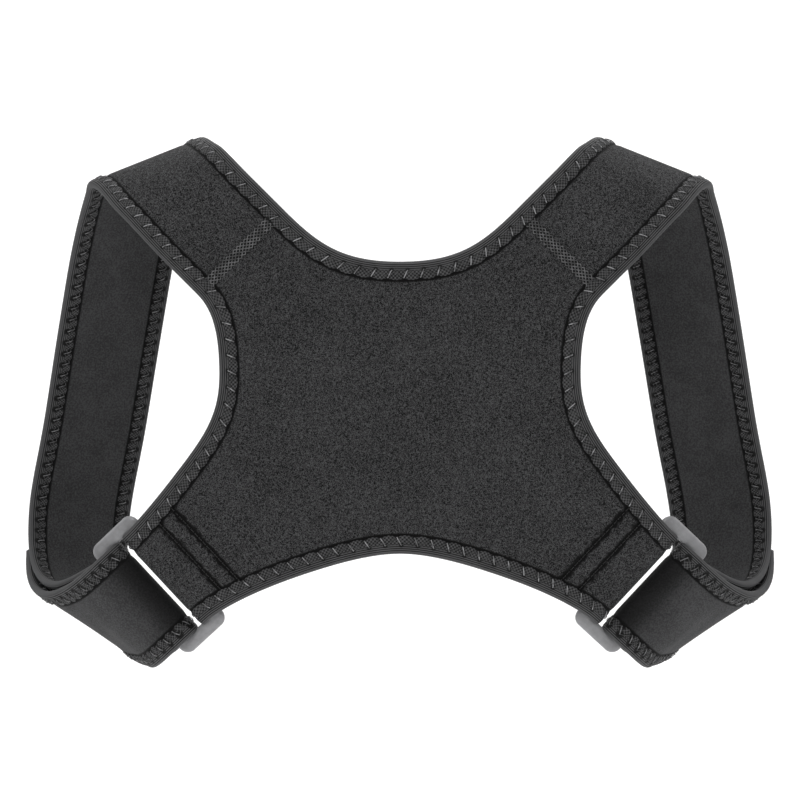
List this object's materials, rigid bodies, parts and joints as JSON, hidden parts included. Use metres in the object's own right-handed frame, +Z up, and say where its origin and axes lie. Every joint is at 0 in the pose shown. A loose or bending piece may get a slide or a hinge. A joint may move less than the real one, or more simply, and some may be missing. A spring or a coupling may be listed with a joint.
{
  "type": "posture corrector",
  "caption": "Charcoal back brace: an X-shaped foam panel with two shoulder straps that pass through loop rings and fold back, edged with zigzag-stitched tape.",
  "frame": {"origin": "shoulder saddle: midway between the two straps, level with the middle of each strap on top of the shoulder", "axes": "+X to the wearer's right-hand strap as seen from behind, +Y forward to the chest, +Z up"},
  "size_m": [0.4224, 0.132, 0.2863],
  "materials": {
    "fleece": "matte",
    "tape": "matte",
    "ring_plastic": "satin",
    "hook": "matte"
  },
  "bodies": {
    "root": {"back_panel": "fleece", "neck_binding": "tape", "hem_binding": "tape", "shoulder_strap_left": "fleece", "shoulder_strap_right": "fleece", "arm_binding_left": "tape", "arm_binding_right": "tape", "ring_left": "ring_plastic", "ring_right": "ring_plastic", "hook_patch_left": "hook", "hook_patch_right": "hook"}
  },
  "joints": []
}
